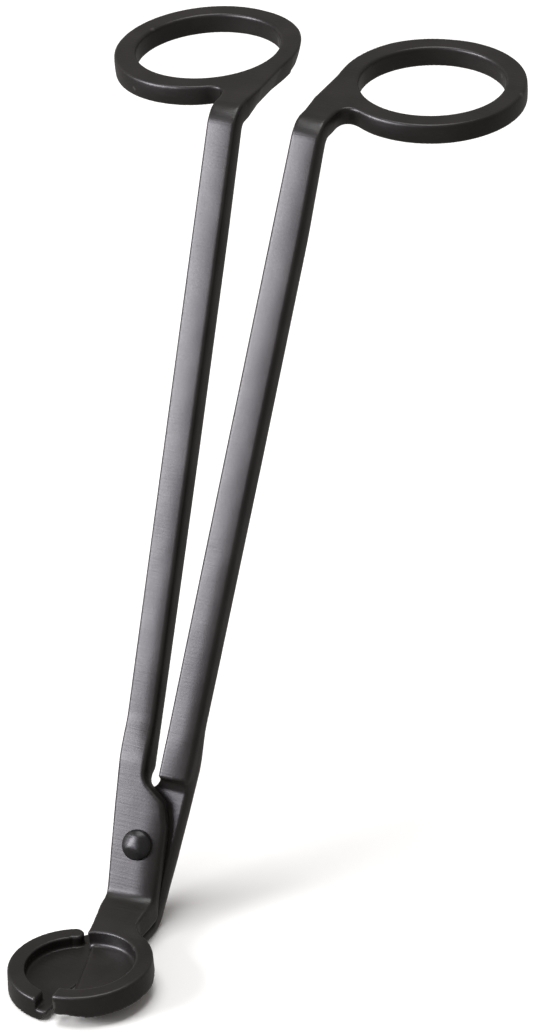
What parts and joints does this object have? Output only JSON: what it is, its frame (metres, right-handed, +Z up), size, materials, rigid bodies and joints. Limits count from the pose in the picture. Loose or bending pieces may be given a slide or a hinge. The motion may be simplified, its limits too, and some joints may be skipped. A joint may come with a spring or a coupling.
{
  "type": "wick trimmer",
  "caption": "Scissor-action candle wick trimmer: long slanted shanks with finger rings and a shallow round tray split into shearing halves on a riveted pivot.",
  "frame": {"origin": "centre of the tray circle on the lower tray half's flat underside", "axes": "+Z up with the tray lying flat, as it stands in the picture; +Y from the tray back towards the handles; +X towards the ring of the back half"},
  "size_m": [0.0773, 0.1428, 0.126],
  "materials": {
    "coated_steel": "satin black coating over forged steel, fine grain",
    "coated_rivet": "satin black rivet head"
  },
  "bodies": {
    "back_half": {"back_half": "coated_steel", "rivet": "coated_rivet"},
    "front_half": {"front_half": "coated_steel"}
  },
  "joints": [
    {"name": "pivot", "type": "hinge", "parent": "back_half", "child": "front_half", "pos_m": [0, 0.02494, 0.0144], "axis": [0, -0.8607, 0.509], "range_deg": [-3.9, 40]}
  ]
}
